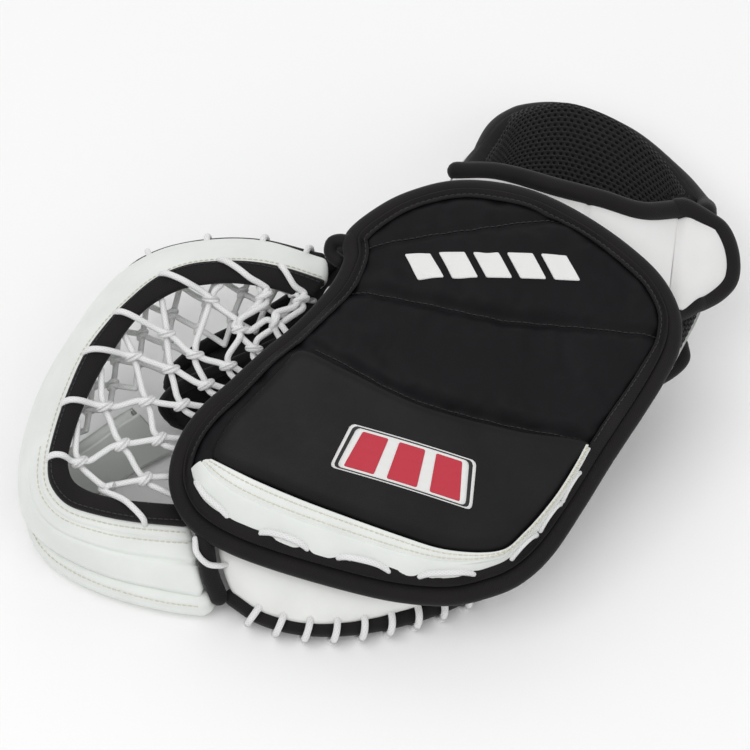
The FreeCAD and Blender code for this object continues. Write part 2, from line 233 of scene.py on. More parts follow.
def tube_parts(line, radius, sides=12, closed=False, up=None, flat=1.0):
    """Points, faces and map of a round or flattened bar; flat scales its height."""
    side, lift = cross_frames(line, closed, up)
    r = np.broadcast_to(np.asarray(radius, float), (len(line),))[:, None]
    angle = np.linspace(0, 2 * math.pi, sides, endpoint=False)
    rings = [line + (side * math.cos(a) + lift * math.sin(a) * flat) * r for a in angle]
    points = np.stack(rings, axis=1)
    u = lengths(line)
    around = angle * float(np.mean(r))
    uv = np.stack([np.repeat(u, sides), np.tile(around, len(line))], axis=1)
    faces = grid_faces(len(line), sides, closed=True)
    if closed:
        last = (len(line) - 1) * sides
        faces += [(last + i, last + (i + 1) % sides, (i + 1) % sides, i) for i in range(sides)]
        return points.reshape(-1, 3), faces, uv
    caps, cap_uv, count = [], [], len(line) * sides
    along = directions(line)
    for end, sign in ((0, -1), (len(line) - 1, 1)):
        base = [end * sides + i for i in range(sides)]
        for k in range(1, 4):
            tilt = math.pi / 2 * k / 4
            centre = line[end] + along[end] * sign * math.sin(tilt) * r[end]
            caps.append(centre + (points[end] - line[end]) * math.cos(tilt))
            cap_uv.append(np.stack([np.full(sides, u[end] + sign * tilt * r[end, 0]), around], axis=1))
            here = list(range(count, count + sides))
            count += sides
            faces += [(base[i], base[(i + 1) % sides], here[(i + 1) % sides], here[i])[::sign]
                      for i in range(sides)]
            base = here
        caps.append((line[end] + along[end] * sign * r[end])[None])
        cap_uv.append(np.array([[u[end], 0.0]]))
        faces += [(base[i], base[(i + 1) % sides], count)[::sign] for i in range(sides)]
        count += 1
    return np.vstack([points.reshape(-1, 3)] + caps), faces, np.vstack([uv] + cap_uv)


def joined(name, parts, material):
    """One mesh from several (points, faces, map) parts."""
    points, faces, uv, start = [], [], [], 0
    for p, f, m in parts:
        points.append(p)
        uv.append(m)
        faces += [tuple(i + start for i in face) for face in f]
        start += len(p)
    return mesh_piece(name, np.vstack(points), faces, np.vstack(uv), material)


def tree_of(obj):
    """A search tree of a mesh in mm, for laying things on it."""
    mesh = obj.data
    points = [Vector((np.array(v.co) - SHIFT) / MM) for v in mesh.vertices]
    return BVHTree.FromPolygons(points, [tuple(p.vertices) for p in mesh.polygons])


def lifted(hits, lift):
    """Points and normals of a tree's hits, the points moved out by lift."""
    facing = np.array([hit[1] for hit in hits])
    return np.array([hit[0] for hit in hits]) + facing * lift, facing


def laid_on(tree, line, lift):
    """The line moved onto the nearest surface, then out by lift. Returns points and normals."""
    return lifted([tree.find_nearest(Vector(p)) for p in line], lift)


def dropped_on(tree, outline, lift):
    """The plan outline dropped from above onto a surface, or laid on it where it misses, then lifted."""
    hits = []
    for x, y in outline:
        hit = tree.ray_cast(Vector((x, y, 400)), Vector((0, 0, -1)))
        hits.append(hit if hit[0] is not None else tree.find_nearest(Vector((x, y, panel_height(x, y)))))
    return lifted(hits, lift)


def stitches(line, facing, length=2.6, gap=1.1, radius=0.38):
    """Parts of a row of thread stitches along a line that lies on a surface."""
    total = lengths(line)
    parts, count = [], max(1, int(total[-1] / (length + gap)))
    profile = np.linspace(0, 1, 5)
    for i in range(count):
        at = (i + 0.5 + (profile - 0.5) * length / (length + gap)) * total[-1] / count
        p = sampled(line, at)
        n = unit(sampled(facing, at, total))
        p = p + n * (np.sin(profile * math.pi) * radius * 1.2 - radius * 0.5)[:, None]
        parts.append(tube_parts(p, radius, sides=5, up=n))
    return parts


# ---------------------------------------------------------------- materials

class Shader:
    """A Principled material built from nodes that work in the mm map or in object space."""

    def __init__(self, name, colour, roughness, **sockets):
        self.material = bpy.data.materials.new(name)
        self.material.use_nodes = True
        self.tree = self.material.node_tree
        self.bsdf = self.tree.nodes["Principled BSDF"]
        self.bsdf.inputs["Base Color"].default_value = (*colour, 1)
        self.bsdf.inputs["Roughness"].default_value = roughness
        for socket, value in sockets.items():
            self.bsdf.inputs[socket.replace("_", " ")].default_value = value
        self.colour = colour
        self.place = self.node("ShaderNodeTexCoord")

    def node(self, kind, links=(), **settings):
        made = self.tree.nodes.new(kind)
        for key, value in settings.items():
            if key in made.inputs:
                made.inputs[key].default_value = value
            else:
                setattr(made, key, value)
        for socket, source in links:
            self.tree.links.new(source, made.inputs[socket])
        return made

    def math(self, operation, a, b):
        made = self.node("ShaderNodeMath", operation=operation)
        for slot, value in enumerate((a, b)):
            if isinstance(value, (int, float)):
                made.inputs[slot].default_value = value
            else:
                self.tree.links.new(value, made.inputs[slot])
        return made.outputs[0]

    def noise(self, scale, detail=3.0, roughness=0.5):
        return self.node("ShaderNodeTexNoise", [("Vector", self.place.outputs["Object"])], Scale=scale,
                         Detail=detail, Roughness=roughness).outputs["Fac"]

    def cells(self, scale):
        return self.node("ShaderNodeTexVoronoi", [("Vector", self.place.outputs["Object"])],
                         feature="DISTANCE_TO_EDGE", Scale=scale).outputs["Distance"]

    def mixed(self, a, share_a, b, share_b):
        return self.math("ADD", self.math("MULTIPLY", a, share_a), self.math("MULTIPLY", b, share_b))

    def waves(self, pitch, turn=0.0):
        """Rounded ribs in the mm map, pitch mm apart, turned by degrees."""
        turned = self.node("ShaderNodeMapping", [("Vector", self.place.outputs["UV"])])
        turned.inputs["Rotation"].default_value = (0, 0, math.radians(turn))
        made = self.node("ShaderNodeTexWave", [("Vector", turned.outputs[0])], wave_profile="SIN")
        made.inputs["Scale"].default_value = 2 * math.pi / pitch / 20
        return made.outputs["Fac"]

    def tint(self, factor, dark, light, low=0.3, high=0.7):
        """The colour runs from dark to light times the material's own as factor goes from low to high."""
        ramp = self.node("ShaderNodeValToRGB", [("Fac", factor)])
        for element, place, level in zip(ramp.color_ramp.elements, (low, high), (dark, light)):
            element.position = place
            element.color = (*(min(1.0, c * level) for c in self.colour), 1)
        self.tree.links.new(ramp.outputs["Color"], self.bsdf.inputs["Base Color"])

    def gloss(self, factor, low, high):
        made = self.node("ShaderNodeMapRange", [("Value", factor)])
        made.inputs["To Min"].default_value = low
        made.inputs["To Max"].default_value = high
        self.tree.links.new(made.outputs[0], self.bsdf.inputs["Roughness"])

    def relief(self, *layers):
        """Bumps, coarse to fine: (height, distance in mm) pairs."""
        last = None
        for height, distance in layers:
            links = [("Height", height)] + ([("Normal", last)] if last else [])
            last = self.node("ShaderNodeBump", links, Strength=1.0, Distance=distance * MM).outputs["Normal"]
        self.tree.links.new(last, self.bsdf.inputs["Normal"])


def leather(name, colour, roughness, grain_mm=1.1, depth=0.05, spread=0.05, shine=0.35):
    """Smooth glove leather: fine pebbled grain, faint creases, slight mottling."""
    s = Shader(name, colour, roughness, Specular_IOR_Level=shine)
    mottled = s.noise(28, 4)
    grain = s.cells(1000 / grain_mm)
    crease = s.noise(120, 5, 0.65)
    s.tint(mottled, 1 - spread, 1 + spread)
    s.gloss(crease, roughness - 0.08, roughness + 0.1)
    s.relief((s.noise(45, 3), 0.25), (crease, 0.12), (grain, depth))
    return s.material


def nylon(name, colour):
    """Closely woven nylon with a soft sheen."""
    s = Shader(name, colour, 0.55, Sheen_Weight=0.04, Sheen_Roughness=0.4, Specular_IOR_Level=0.15)
    s.bsdf.inputs["Sheen Tint"].default_value = (0.75, 0.75, 0.8, 1)
    weave = s.math("MULTIPLY", s.waves(0.55, 45), s.waves(0.55, -45))
    s.tint(s.math("ADD", s.math("MULTIPLY", weave, 0.35), s.noise(16, 4)), 0.75, 1.35, 0.3, 1.0)
    s.gloss(s.noise(60, 3), 0.46, 0.62)
    s.relief((s.noise(38, 4), 0.5), (weave, 0.05))
    return s.material


def knit_tape(name, colour):
    """Binding tape: fine ribs across its length."""
    s = Shader(name, colour, 0.72, Sheen_Weight=0.08, Sheen_Roughness=0.5, Specular_IOR_Level=0.2)
    ribs = s.waves(0.9)
    twill = s.math("MULTIPLY", ribs, s.waves(1.3, 38))
    s.tint(s.mixed(twill, 0.5, s.noise(40, 4), 0.5), 0.6, 1.6, 0.2, 0.9)
    s.relief((s.noise(70, 3), 0.3), (twill, 0.12))
    return s.material


def braided_lace(name, colour):
    s = Shader(name, colour, 0.62)
    braid = s.math("MAXIMUM", s.waves(1.5, 52), s.waves(1.5, -52))
    s.tint(s.mixed(braid, 0.5, s.noise(60, 3), 0.4), 0.82, 1.05, 0.2, 0.9)
    s.relief((braid, 0.22))
    return s.material


def spacer_mesh(name, colour):
    """Black spacer mesh between its holes."""
    s = Shader(name, colour, 0.66, Sheen_Weight=0.08, Specular_IOR_Level=0.25)
    threads = s.math("MULTIPLY", s.waves(0.7, 45), s.waves(0.7, -45))
    s.tint(s.mixed(threads, 0.6, s.noise(50, 3), 0.4), 0.6, 1.7, 0.2, 0.8)
    s.relief((threads, 0.12))
    return s.material


def thread(name, colour):
    s = Shader(name, colour, 0.5)
    s.tint(s.noise(900, 1), 0.85, 1.1)
    s.relief((s.waves(0.5, 30), 0.08))
    return s.material


def patch_cloth(name, colour):
    """Satin-stitched embroidery."""
    s = Shader(name, colour, 0.45, Sheen_Weight=0.15)
    rows = s.waves(0.6, 90)
    s.tint(rows, 0.88, 1.06, 0.1, 0.9)
    s.relief((rows, 0.12))
    return s.material


WHITE_LEATHER = leather("white_leather", (0.79, 0.815, 0.785), 0.42)
RIM_LEATHER = leather("rim_leather", (0.83, 0.84, 0.815), 0.4, 1.0, 0.04)
BLACK_LEATHER = leather("black_leather", (0.0085, 0.0088, 0.0086), 0.46, 0.9, 0.12, 0.25, 0.16)
SMOOTH_WHITE = leather("white_synthetic", (0.82, 0.815, 0.81), 0.36, 0.8, 0.03, 0.03)
LINER = leather("liner", (0.009, 0.009, 0.0095), 0.8, 0.7, 0.1, 0.2, 0.15)
NYLON = nylon("black_nylon", (0.0052, 0.0046, 0.0058))
TAPE = knit_tape("black_binding", (0.0095, 0.0078, 0.0082))
LACE = braided_lace("white_lace", (0.86, 0.865, 0.86))
MESH_CLOTH = spacer_mesh("mesh_fabric", (0.0075, 0.0068, 0.0073))
CREAM_THREAD = thread("cream_thread", (0.74, 0.71, 0.6))
BLACK_THREAD = thread("black_thread", (0.02, 0.019, 0.021))
WHITE_PATCH = patch_cloth("white_embroidery", (0.86, 0.86, 0.85))
RED_PATCH = patch_cloth("emblem_red", (0.56, 0.02, 0.045))
BLACK_PATCH = patch_cloth("emblem_black", (0.01, 0.01, 0.011))


def roll(name, line, radius, body, stands_for=(), sides=18, material=TAPE, closed=False):
    """A piece that is one round bar along a line, such as a binding."""
    declare(joined(name, [tube_parts(line, radius, sides, closed)], material), body, stands_for)


# ---------------------------------------------------------------- guide curves, in mm, close to the CAD's

PANEL_EDGE = [
    (-12, 61), (8, 77), (28, 86), (50, 91), (75, 90), (99, 84), (124, 72), (150, 55), (170, 37), (180, 17),
    (179, -2), (170, -20), (157, -40), (138, -67), (119, -95), (101, -119), (84, -133), (66, -140),
    (44, -144), (15, -142), (-17, -135), (-57, -123), (-87, -111), (-107, -98), (-117, -82), (-118, -67),
    (-112, -52), (-100, -38), (-84, -26), (-64, -10), (-46, 3), (-31, 17), (-19, 32), (-13, 46),
]
PALM_EDGE = [
    (-80, -105), (-45, -122), (12, -125), (50, -111), (82, -87), (111, -58), (135, -24), (139, 6),
    (116, 40), (82, 60), (44, 54), (-8, 28), (-34, -8), (-60, -46), (-78, -78),
]
KNUCKLE_EDGE = [
    (-44, -14), (-18, -26), (15, -43), (44, -53), (86, -62), (126, -67), (117, -82), (105, -98),
    (88, -116), (73, -126), (44, -126), (15, -118), (-33, -101), (-68, -86), (-96, -72), (-91, -56),
    (-75, -40), (-58, -25),
]
PAD_STRIP_EDGE = [(-98, -73), (-69, -88), (-34, -103), (14, -120), (44, -128), (74, -128), (90, -117),
                  (107, -99), (119, -82), (126, -70)]
RIM_TOP = [(-93, -105, 41), (-58, -121, 39), (-15, -131, 38), (18, -135, 37), (52, -134, 37),
           (78, -124, 41), (100, -102, 50), (119, -77, 60), (137, -48, 72), (152, -22, 81)]
RIM_BOTTOM = [(-86, -129, 19), (-68, -141, 18), (-43, -148, 18), (-15, -148, 18), (15, -142, 18),
              (42, -132, 18), (66, -119, 20), (90, -98, 24), (112, -73, 31), (131, -46, 41), (147, -20, 50)]
EDGE_DROP = 8.0
RIM_LACES = 17
RIM_END = [(-103, -101, 47), (-102, -111, 42), (-100, -121, 28), (-95, -130, 14)]
RIM_END_STITCH = [(-108, -108, 47), (-107, -116, 45), (-101, -121, 40), (-94, -121, 37), (-90, -118, 33)]
INDEX_TOP = [(-24, 34, 100), (-44, 2, 86), (-72, -36, 68), (-92, -72, 52), (-97, -96, 45)]
INDEX_BOTTOM = [(-22, 30, 80), (-41, -4, 66), (-67, -42, 46), (-88, -80, 27), (-93, -106, 16)]
WEB_NEAR = [(-33, 50, 91), (-54, 54, 97), (-75, 56, 101), (-100, 58, 98), (-118, 56, 96),
            (-135, 49, 93), (-149, 37, 91), (-163, 21, 89), (-177, -1, 86), (-187, -26, 80),
            (-194, -50, 74), (-197, -67, 69), (-195, -81, 64), (-185, -91, 58), (-167, -96, 54),
            (-145, -98, 49), (-115, -97, 41)]
WEB_OUTER = [(-33, 71, 85), (-70, 89, 78), (-106, 94, 72), (-140, 89, 66), (-168, 70, 60),
             (-192, 33, 54), (-209, -2, 48), (-218, -35, 41), (-220, -60, 34), (-216, -82, 28),
             (-203, -98, 24), (-182, -111, 22), (-156, -121, 21), (-130, -127, 21), (-108, -131, 21)]
NET_EDGE = [(-44, 39, 86), (-60, 42, 92), (-80, 43, 96.5), (-100, 44, 95), (-120, 41, 93),
            (-138, 31, 90), (-150, 18, 87.5), (-160, 3, 84), (-169, -13, 80.5), (-177, -32, 76),
            (-183, -50, 71), (-186, -66, 66), (-183, -76, 60), (-172, -82, 56), (-155, -85, 52),
            (-138, -85, 48), (-118, -83, 40)]
NET_INDEX = [(-33, 34, 94), (-53, 2, 83), (-82, -37, 64), (-104, -74, 48), (-109, -95, 43)]
CROSSBAR_LINE = [(-210, -62, 18), (-206, -82, 10.5), (-195, -98, 8.8), (-176, -111, 8.8), (-152, -121, 8.8),
                 (-126, -128, 8.8), (-106, -131, 8.8)]
THUMB_ARM_TOP = [(-192, -56, 46), (-175, -42, 45), (-158, -26, 44), (-147, -17, 43)]
THUMB_ARM_BOTTOM = [(-188, -62, 6), (-168, -50, 4), (-149, -36, 4), (-128, -23, 4)]
FAR_NET_SPINE = [(-44, 68, 78), (-72, 81, 72), (-106, 85, 65), (-137, 81, 59), (-160, 63, 53),
                 (-182, 30, 47), (-199, -2, 41), (-206, -30, 36)]
FAR_NET_THUMB = [(-38, 42, 80), (-71, 24, 75), (-108, 11, 66), (-140, 0, 55), (-160, -16, 53),
                 (-180, -38, 53), (-194, -48, 54)]
THUMB_TOP = [(-138, -8, 46), (-108, -1, 58), (-71, 12, 67), (-34, 32, 72), (2, 68, 72), (26, 100, 70)]
THUMB_BOTTOM = [(-118, -12, 10), (-86, -8, 10), (-32, 0, 10), (16, 32, 12), (44, 70, 16)]
THUMB_SLEEVE = [(-97, 11, 33), (-62, 22, 35), (-24, 46, 38), (0, 74, 38)]
THUMB_COVER_TOP = [(-134, 14, 31), (-106, 27, 44), (-76, 40, 52), (-47, 59, 57), (-24, 85, 60), (-6, 113, 58)]
THUMB_COVER_FOOT = [(-114, 10, 6), (-86, 20, 6), (-48, 34, 6), (-8, 62, 7), (16, 96, 10)]
CUFF_HEEL = [(38, 82, 96), (50, 86, 64), (112, 64, 44), (162, 26, 38), (182, 6, 62)]
CUFF_BELLY = [(46, 108, 94), (62, 122, 46), (124, 128, 12), (188, 86, 28), (206, 60, 60)]
CUFF_LIP = [(52, 127, 91), (65, 166, 66), (88, 205, 46), (127, 224, 31), (168, 208, 27), (197, 171, 33),
            (211, 137, 45), (211, 121, 57)]
WRIST_EDGE = [(50, 121, 102), (78, 112, 112), (115, 98, 114), (140, 92, 111), (165, 88, 104), (190, 96, 95)]
WRIST_INNER = [(38, 86, 100), (66, 74, 110), (100, 62, 111), (132, 46, 105), (158, 30, 96), (177, 18, 87)]
TAB_ROOT = [(197, 95, 92), (193, 62, 88), (187, 36, 81)]
TAB_MIDDLE = [(201, 96, 91), (207, 78, 87), (206, 62, 83), (199, 48, 80), (190, 38, 79)]
TAB_TIP = [(204, 97, 90), (214, 89, 86), (219, 76, 80), (218, 63, 75), (210, 54, 73), (201, 47, 74),
           (193, 40, 77)]
TAB_ROLL_START = [(190, 101, 97), (197, 101, 95.5)]
TAB_ROLL_END = [(191, 38, 74), (184, 33, 76), (177, 29, 78)]
HEEL_EDGE = [(186, 46, 50), (192, 38, 50), (194, 30, 49), (190, 23, 48)]
HEEL_ROLL = [(193, 30, 47), (193, 20, 47), (184, 11, 46), (170, 3, 45), (152, -6, 44)]
HAND_STRAP_FRONT = [(8, 30, 82), (28, 24, 99), (58, 14, 103), (88, 2, 97), (106, -8, 68)]
HAND_STRAP_BACK = [(24, 54, 84), (44, 49, 104), (74, 40, 111), (104, 28, 104), (122, 16, 70)]
GUSSET_PALM = [(-16, 28, 78), (14, 46, 76), (38, 60, 73)]
GUSSET_THUMB = [(-25, 30, 76), (6, 57, 75), (27, 80, 74)]


# ---------------------------------------------------------------- backhand

UPPER_SEAM = [(-10, 50), (10, 54), (30, 57), (64, 62), (106, 69), (124, 70)]
MIDDLE_SEAM = [(-26, 25), (-11, 24), (33, 15), (75, 6), (105, 4), (166, 2), (182, 2)]
LEATHER_SEAM = [(-68, -4), (-42, -10), (-18, -23), (15, -41), (45, -51), (86, -60), (134, -66), (150, -66)]
STRIP_FOOT = [(-111, -73), (-104, -90), (-84, -105), (-55, -117), (-16, -129), (15, -136), (43, -138),
              (64, -134), (81, -127), (97, -113), (114, -92), (127, -72)]
STRIP_LACES = ((10, 26), (62, 26), (112, 27), (162, 28), (219, 16), (243, 16), (265, 16))
BADGE = [(-14.0, -59.0), (60.0, -81.0), (57.0, -107.0), (-27.0, -82.0)]
PANEL_MIDDLE = np.array((35.0, -25.0))
NAME_BARS = 5
PANEL_ROLL = 6.3           # radius of the roll round the panel
BINDING_TAIL = [(-13, 55, 117), (-19, 60, 119), (-26, 60, 117), (-27, 54, 114), (-22, 49, 113)]
THREAD_LIFT = 0.15


def distance_to(line, x, y):
    """Distance in plan from points to a polyline."""
    best = np.full(x.shape, 1e9)
    for (ax, ay), (bx, by) in zip(line, line[1:]):
        dx, dy = bx - ax, by - ay
        t = np.clip(((x - ax) * dx + (y - ay) * dy) / (dx * dx + dy * dy + 1e-12), 0, 1)
        best = np.minimum(best, np.hypot(x - ax - t * dx, y - ay - t * dy))
    return best


def disc_mesh(name, outline, middle, height, rings, material, floor):
    """A domed sheet over a plan outline: rings of points round a middle, closed below by floor(x, y)."""
    n = len(outline)
    t = np.linspace(0, 1, rings + 1)[1:] ** 0.8
    plan = middle + (outline[None] - middle) * t[:, None, None]
    uv = np.vstack([plan.reshape(-1, 2), middle[None]])
    top, below = (np.column_stack([uv, face(uv[:, 0], uv[:, 1])]) for face in (height, floor))
    hub, under = rings * n, rings * n + 1
    faces = [f[::-1] for f in grid_faces(rings, n, closed=True)]
    faces += [(i, (i + 1) % n, hub) for i in range(n)]
    faces += grid_faces(rings, n, under, closed=True)
    faces += [(under + (i + 1) % n, under + i, under + hub) for i in range(n)]
    a, b = (rings - 1) * n, under + (rings - 1) * n
    faces += [(a + i, b + i, b + (i + 1) % n, a + (i + 1) % n) for i in range(n)]
    return mesh_piece(name, np.vstack([top, below]), faces, np.vstack([uv, uv]), material)


def fade(d, width):
    """0 at d = 0, rising to 1 at width, as a quarter round."""
    t = np.clip(d / width, 0, 1)
    return np.sqrt(1 - (1 - t) ** 2)


def ripple(x, y, size, seed=0.0):
    """Soft irregular folds, between -1 and 1."""
    a = np.sin(x / size + 1.7 * np.sin(y / size * 0.6 + seed)) * np.cos(y / size * 1.3 + seed * 2.1)
    b = np.sin((x + y) / size * 0.7 + seed * 1.3)
    return 0.6 * a + 0.4 * b


def loop_of(points, count):
    edge = smooth(points, count, closed=True)
    return np.vstack([edge, edge[:1]])


def nylon_height(x, y):
    """The stuffed nylon: it falls away at the binding and rises to the leather block's upper seam."""
    rim = distance_to(loop_of(PANEL_EDGE, 240), x, y)
    swell = 3.0 + 8.0 * np.exp(-(distance_to(LEATHER_SEAM, x, y) / 30) ** 2)
    return panel_height(x, y) - 3.5 + (3.5 + swell) * fade(rim - 4.0, 17.0)


def seam_depth(x, y):
    """Grooves along the quilting seams, with short puckers at right angles to them."""
    depth = np.zeros_like(x)
    for line, deep, width in ((UPPER_SEAM, 2.2, 3.6), (MIDDLE_SEAM, 3.6, 4.6), (LEATHER_SEAM, 3.2, 4.2)):
        away = distance_to(smooth(line, 60), x, y)
        depth += deep * np.exp(-(away / width) ** 2)
        depth += 0.35 * np.sin(x / 2.9 + 0.7 * np.sin(x / 9)) * np.exp(-(away / 9) ** 2)
    return depth


def leather_height(x, y):
    rim = distance_to(loop_of(KNUCKLE_EDGE, 160), x, y)
    return panel_height(x, y) + 8.5 + 5.0 * fade(rim, 7.0) + 0.25 * ripple(x, y, 17.0, 2.0)


def outline_inside(points, count, distance):
    """A smooth closed line that runs inside a clockwise outline."""
    line = smooth(points, count, closed=True)
    t = directions(line, closed=True)
    side = np.stack([t[:, 1], -t[:, 0]], axis=1)
    return line + side * distance


def with_height(plan, lift):
    return np.column_stack([plan, panel_height(plan[:, 0], plan[:, 1]) + lift])


def points_of(obj):
    """The object's vertices, in mm."""
    co = np.empty(len(obj.data.vertices) * 3)
    obj.data.vertices.foreach_get("co", co)
    return (co.reshape(-1, 3) - SHIFT) / MM


def put_points(obj, points):
    obj.data.vertices.foreach_set("co", (points * MM + SHIFT).ravel())
    obj.data.update()


def applied(obj):
    """The object's mesh with its modifiers applied."""
    mesh = bpy.data.meshes.new_from_object(obj.evaluated_get(bpy.context.evaluated_depsgraph_get()))
    obj.modifiers.clear()
    old = obj.data
    obj.data = mesh
    mesh.name = old.name
    bpy.data.meshes.remove(old)
    shade_smooth(mesh)


PUFF_FRAMES = 20
CLOTH = {"quality": 5, "mass": 0.3, "tension_stiffness": 20, "compression_stiffness": 20,
         "shear_stiffness": 8, "bending_stiffness": 0.4, "vertex_group_mass": "held", "use_pressure": True,
         "uniform_pressure_force": 4.0, "shrink_min": -0.03}


def puffed(obj, held, cap):
    """Blow a closed cover up as cloth where held(points) is below 1, moving no point more than cap mm."""
    remesh = obj.modifiers.new("remesh", "REMESH")
    remesh.mode = "VOXEL"
    remesh.voxel_size = 5.0 * MM
    applied(obj)
    before = points_of(obj)
    group = obj.vertex_groups.new(name="held")
    for index, weight in enumerate(held(before)):
        group.add([index], float(weight), "REPLACE")
    cloth = obj.modifiers.new("cloth", "CLOTH")
    for setting, value in CLOTH.items():
        setattr(cloth.settings, setting, value)
    cloth.settings.effector_weights.gravity = 0
    cloth.collision_settings.use_collision = False
    cloth.point_cache.frame_start = 1
    cloth.point_cache.frame_end = PUFF_FRAMES
    for frame_number in range(1, PUFF_FRAMES + 1):
        bpy.context.scene.frame_set(frame_number)
    applied(obj)
    bpy.context.scene.frame_set(1)
    move = points_of(obj) - before
    size = np.linalg.norm(move, axis=1, keepdims=True)
    put_points(obj, before + move * np.minimum(1, cap / np.maximum(size, 1e-6)))
    smoother = obj.modifiers.new("finer", "SUBSURF")
    smoother.levels = 2
    applied(obj)
    set_map(obj.data, points_of(obj)[:, :2])


def backhand():
    cover = disc_mesh("backhand_cover", outline_inside(PANEL_EDGE, 200, 4.0), PANEL_MIDDLE, nylon_height, 60,
                      NYLON, lambda x, y: panel_height(x, y) - 9.5)

    def held(p):
        x, y = p[:, 0], p[:, 1]
        still = distance_to(loop_of(PANEL_EDGE, 200), x, y) < 9
        for line in (UPPER_SEAM, MIDDLE_SEAM, LEATHER_SEAM):
            still |= distance_to(smooth(line, 50), x, y) < 3.5
        return (still | (p[:, 2] < panel_height(x, y) - 5)).astype(float)

    puffed(cover, held, 3.0)
    p = points_of(cover)
    top = np.clip((p[:, 2] - panel_height(p[:, 0], p[:, 1]) + 6) / 4, 0, 1)
    p[:, 2] -= seam_depth(p[:, 0], p[:, 1]) * top
    put_points(cover, p)
    declare(cover, BACKHAND, ["backhand_panel"])
    block = disc_mesh("knuckle_cover", smooth(KNUCKLE_EDGE, 260, closed=True), np.array((10.0, -75.0)),
                      leather_height, 60, BLACK_LEATHER, lambda x, y: panel_height(x, y) + 1.0)
    declare(block, BACKHAND, ["knuckle_pad"])
    cover_tree, block_tree = tree_of(cover), tree_of(block)
    edge = with_height(smooth(PANEL_EDGE, 360, closed=True), -4.2)
    rim = tube_parts(edge, PANEL_ROLL, 20, closed=True, flat=0.85)
    tail = tube_parts(smooth(BINDING_TAIL, 26), 4.2, 14)
    declare(joined("backhand_roll", [rim, tail], TAPE), BACKHAND, ["backhand_binding"])
    flange = [with_height(outline_inside(PANEL_EDGE, 360, 3.2), 0.9)]
    for inside, lift in ((6.4, 1.3), (9.4, 1.0)):
        flange.append(dropped_on(cover_tree, outline_inside(PANEL_EDGE, 360, inside), lift)[0])
    flange = np.array(flange)[:, np.r_[0:360, 0]]
    for row in flange:
        row[:, 2] = np.convolve(np.r_[row[-4:, 2], row[:, 2], row[:4, 2]], np.ones(9) / 9, "valid")
    piece = thick_sheet("backhand_flange", flange, 1.4, TAPE)
    declare(piece, BACKHAND)
    rows = []
    for line in (UPPER_SEAM, MIDDLE_SEAM, LEATHER_SEAM[1:-1]):
        rows += stitches(*dropped_on(cover_tree, smooth(line, 110)[4:-4], THREAD_LIFT), length=2.8, gap=1.0)
    ring = outline_inside(PANEL_EDGE, 420, 7.4)
    bare = distance_to(smooth(STRIP_FOOT, 80), ring[:, 0], ring[:, 1]) > 6
    first = int(np.argmax(bare & ~np.roll(bare, 1)))
    rows += stitches(*dropped_on(tree_of(piece), np.roll(ring, -first, axis=0)[:bare.sum()], 0.12))
    declare(joined("backhand_stitches", rows, BLACK_THREAD), BACKHAND)
    strip()
    patches(cover_tree, block_tree)


def strip():
    """The white leather strip below the knuckle pad, puckered where the lace pulls it."""
    along, across = 320, 40
    t = np.linspace(0, 1, across)[:, None]
    top = smooth(PAD_STRIP_EDGE, along)
    foot = smooth(STRIP_FOOT, along)
    plan = top[None] * (1 - t[..., None]) + foot[None] * t[..., None]
    width = np.linalg.norm(foot - top, axis=1)[None]
    total = lengths(with_height(foot, 0))[None]
    pull = np.zeros_like(total)
    for start, length in STRIP_LACES:
        for hole in (start - 1, start + length + 1):
            pull += np.exp(-((total - hole) / 3.6) ** 2)
    fold = np.sin(total / 5.3 + 1.2 * np.sin(total / 17)) * 0.6
    low = np.clip((t - 0.4) / 0.6, 0, 1)
    lift = 12.6 - 2.2 * t - 7.4 * low ** 1.6
    lift = lift + low * (1 - low) * 4 * (fold + 0.8) * np.clip(width / 20, 0.35, 1) - 1.9 * pull * low ** 1.5
    lift = lift - 1.0 * np.exp(-((t - 0.4) / 0.035) ** 2) + 0.5 * np.exp(-((t - 0.2) / 0.16) ** 2)
    z = panel_height(plan[..., 0], plan[..., 1]) + lift
    grid = np.concatenate([plan, z[..., None]], axis=-1)
    grid = grid[::-1]
    piece = thick_sheet("pad_side_strip", grid, 1.6, WHITE_LEATHER)
    declare(piece, BACKHAND, ["pad_strip"])
    tree = tree_of(piece)
    sewn = []
    for row in (across - 5, across - 13):
        sewn += stitches(*laid_on(tree, grid[row], THREAD_LIFT), length=2.2, gap=1.0)
    declare(joined("strip_stitches", sewn, CREAM_THREAD), BACKHAND)
    laces = []
    for start, length in STRIP_LACES:
        p = sampled(grid[4], np.linspace(start - 2, start + length + 2, 20), total[0])
        p[:, 2] += 4.4 * np.sin(np.linspace(0, math.pi, 20)) ** 0.5 - 1.6
        laces.append(tube_parts(p, 2.1, sides=10))
    declare(joined("strip_lace", laces, LACE), BACKHAND, ["pad_lacing"])


